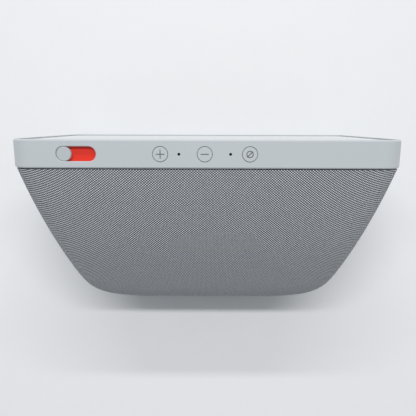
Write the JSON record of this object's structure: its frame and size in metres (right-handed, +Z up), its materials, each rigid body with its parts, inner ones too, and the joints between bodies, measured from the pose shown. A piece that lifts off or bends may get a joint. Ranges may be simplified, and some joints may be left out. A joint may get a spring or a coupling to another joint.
{
  "type": "smart speaker",
  "caption": "Small tabletop smart speaker with a leaning screen, a fabric-covered rounded body and a top edge with sliding camera shutter, volume and mute buttons.",
  "frame": {"origin": "centre of the bounding box on the table", "axes": "+Z up, -Y towards the viewer of the screen, +X across, on the shutter side (left when seen from behind)"},
  "size_m": [0.147, 0.0861, 0.0818],
  "materials": {
    "frame_plastic": "satin, finely textured",
    "glass": "polished",
    "fabric": "knit",
    "housing": "matte",
    "base": "matte",
    "rubber": "matte",
    "black": "matte",
    "red": "matte",
    "steel": "satin",
    "board": "satin",
    "flex": "satin",
    "cone": "paper",
    "copper": "enamelled wire"
  },
  "bodies": {
    "chassis": {"aerials": "flex", "backlight": "base", "base_cover": "base", "base_screws": "steel", "bezel_frame": "frame_plastic", "board_screws": "steel", "board_sockets": "base", "camera_flex": "flex", "camera_lens": "glass", "camera_module": "black", "control_board": "board", "control_screws": "steel", "cover_glass": "glass", "dc_jack": "black", "display_bracket": "steel", "display_flex": "flex", "display_panel": "black", "dust_cap": "cone", "fabric_cover": "fabric", "foot_pad": "rubber", "glass_tape": "black", "jack_pin": "steel", "light_sensor": "black", "main_board": "board", "microphone_seals": "rubber", "microphones": "steel", "mid_frame": "steel", "mid_screws": "steel", "port_panel": "base", "power_lead": "black", "rear_housing": "housing", "shield_can": "steel", "shutter_guide": "black", "speaker_basket": "steel", "speaker_box": "housing", "speaker_cone": "cone", "speaker_gasket": "rubber", "speaker_lead": "black", "speaker_magnet": "steel", "speaker_surround": "rubber", "tact_switches": "steel", "thermal_pad": "rubber", "voice_coil": "copper"},
    "shutter": {"shutter_knob": "frame_plastic", "shutter_carriage": "frame_plastic", "red_flag": "red", "shutter_blade": "black"},
    "volume_up": {"volume_up_button": "frame_plastic"},
    "volume_down": {"volume_down_button": "frame_plastic"},
    "mic_mute": {"mic_mute_button": "frame_plastic"}
  },
  "joints": [
    {"name": "shutter_slide", "type": "slide", "parent": "chassis", "child": "shutter", "axis": [-1, 0, 0], "range_m": [0, 0.0089]},
    {"name": "volume_up_press", "type": "slide", "parent": "chassis", "child": "volume_up", "axis": [0, -0.342, -0.9397], "range_m": [0, 0.0004], "stiffness_N_per_m": 3000, "springref_m": -0.0001},
    {"name": "volume_down_press", "type": "slide", "parent": "chassis", "child": "volume_down", "axis": [0, -0.342, -0.9397], "range_m": [0, 0.0004], "stiffness_N_per_m": 3000, "springref_m": -0.0001},
    {"name": "mic_mute_press", "type": "slide", "parent": "chassis", "child": "mic_mute", "axis": [0, -0.342, -0.9397], "range_m": [0, 0.0004], "stiffness_N_per_m": 3000, "springref_m": -0.0001}
  ]
}
